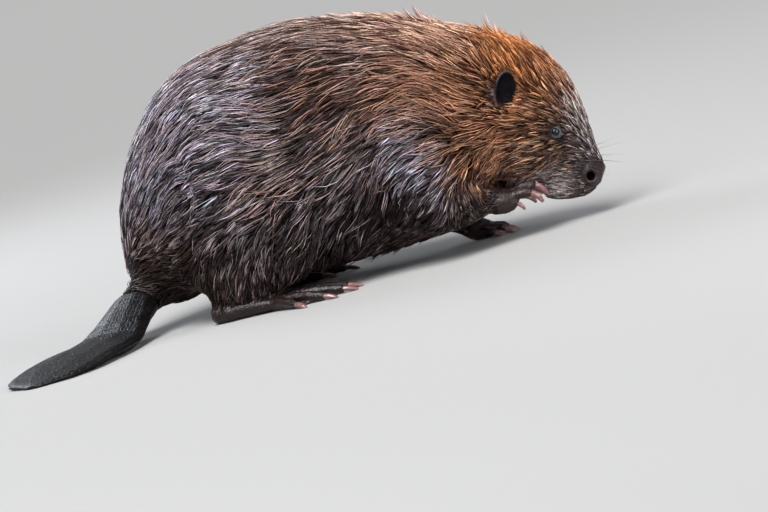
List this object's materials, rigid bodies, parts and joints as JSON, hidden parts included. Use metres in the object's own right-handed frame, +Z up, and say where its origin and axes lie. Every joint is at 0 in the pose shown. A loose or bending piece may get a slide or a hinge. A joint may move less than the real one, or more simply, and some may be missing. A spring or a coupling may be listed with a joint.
{
  "type": "beaver",
  "caption": "Life-size beaver crouching on flat ground, back arched, nose low, one forepaw lifted to its mouth and its broad scaly tail laid to the side.",
  "frame": {"origin": "on the floor, under the middle of the animal's bounding box", "axes": "+X the way the nose points, +Y the beaver's left, +Z up from the floor it crouches on"},
  "size_m": [0.7134, 0.406, 0.3069],
  "materials": {
    "coat_dark": "wet, clumped fur",
    "coat_red": "drier, spiky fur",
    "skin_dark": "damp bare skin",
    "skin_tail": "damp scaly skin",
    "claw_horn": "satin horn",
    "eye": "glossy, wet"
  },
  "bodies": {
    "root": {"head": "coat_red", "neck": "coat_red", "trunk": "coat_dark", "tail_root": "coat_dark", "hind_leg_right": "coat_dark", "hind_leg_left": "coat_dark", "front_leg_right": "coat_dark", "front_leg_left": "coat_dark", "nose": "skin_dark", "ear_right": "skin_dark", "ear_left": "skin_dark", "hind_foot_right": "skin_dark", "hind_foot_left": "skin_dark", "front_foot_right": "skin_dark", "front_foot_left": "skin_dark", "tail": "skin_tail", "eye_right": "eye", "eye_left": "eye", "claw_hind_right_1": "claw_horn", "claw_hind_right_2": "claw_horn", "claw_hind_right_3": "claw_horn", "claw_hind_right_4": "claw_horn", "claw_hind_right_5": "claw_horn", "claw_hind_left_1": "claw_horn", "claw_hind_left_2": "claw_horn", "claw_hind_left_3": "claw_horn", "claw_hind_left_4": "claw_horn", "claw_hind_left_5": "claw_horn", "claw_front_right_1": "claw_horn", "claw_front_right_2": "claw_horn", "claw_front_right_3": "claw_horn", "claw_front_right_4": "claw_horn", "claw_front_right_5": "claw_horn", "claw_front_left_1": "claw_horn", "claw_front_left_2": "claw_horn", "claw_front_left_3": "claw_horn", "claw_front_left_4": "claw_horn", "claw_front_left_5": "claw_horn"}
  },
  "joints": []
}
